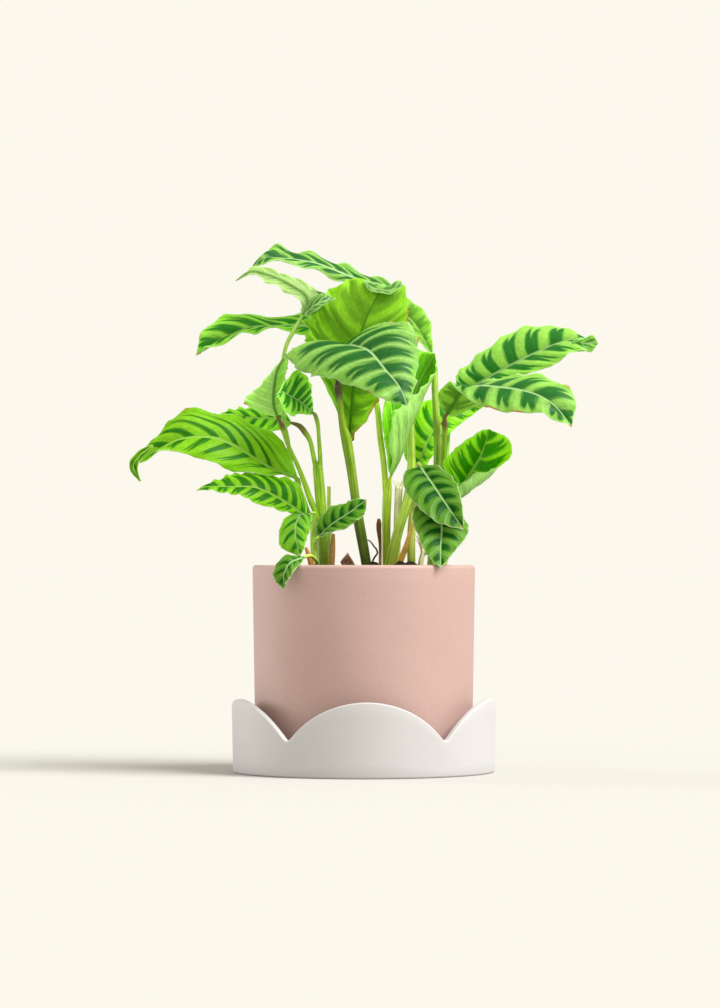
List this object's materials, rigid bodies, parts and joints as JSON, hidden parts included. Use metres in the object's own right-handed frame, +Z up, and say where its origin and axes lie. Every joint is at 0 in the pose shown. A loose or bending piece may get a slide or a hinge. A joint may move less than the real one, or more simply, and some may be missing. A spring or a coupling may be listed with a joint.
{
  "type": "potted zebra calathea",
  "caption": "Potted zebra calathea: striped oval leaves on slender stems in soil, in a tapered ceramic pot standing on a scalloped saucer.",
  "frame": {"origin": "on the floor under the pot's axis, at the middle of the saucer's flat underside", "axes": "+Z up; the plant's best side faces -Y, and +X is to the right as seen from there"},
  "size_m": [0.3728, 0.2108, 0.4214],
  "materials": {
    "leaf": "waxy green leaf with pale stripes along its veins",
    "stem": "smooth yellow-green stem with fine fibres",
    "dry_growth": "dry brown fibre",
    "bark": "rough brown bark",
    "soil": "dark crumbly potting mix",
    "pot_ceramic": "matt speckled dusty pink ceramic",
    "saucer_ceramic": "matt off-white ceramic"
  },
  "bodies": {
    "root": {"leaf_top_sweep": "leaf", "leaf_top_left": "leaf", "leaf_mid_left": "leaf", "leaf_tall_centre": "leaf", "leaf_front": "leaf", "leaf_behind_right": "leaf", "leaf_furled": "leaf", "leaf_behind_stems": "leaf", "leaf_upper_right": "leaf", "leaf_lower_right": "leaf", "leaf_left_small_up": "leaf", "leaf_left_back_face": "leaf", "leaf_left_hidden": "leaf", "leaf_left_large": "leaf", "leaf_left_low": "leaf", "leaf_small_hanging": "leaf", "leaf_over_rim": "leaf", "leaf_small_centre": "leaf", "leaf_right_small_up": "leaf", "leaf_right_small_low": "leaf", "leaf_right_spoon": "leaf", "stems_left_sheath": "stem", "stems_left_light": "stem", "stem_top_left": "stem", "stems_tall_pair": "stem", "stems_centre_pair": "stem", "stem_top_sweep": "stem", "stem_behind_right": "stem", "stem_lower_right": "stem", "stem_upper_right": "stem", "stems_right_pair": "stem", "stem_right_spoon": "stem", "stem_right_small_low": "stem", "stub_frayed": "stem", "stub_cut": "stem", "stub_fibres": "stem", "stub_brown": "dry_growth", "stub_orange": "dry_growth", "stalk_knob": "dry_growth", "sheath_dry": "dry_growth", "root_curl": "dry_growth", "bark_chip": "bark", "soil": "soil", "pot": "pot_ceramic", "saucer": "saucer_ceramic"}
  },
  "joints": []
}
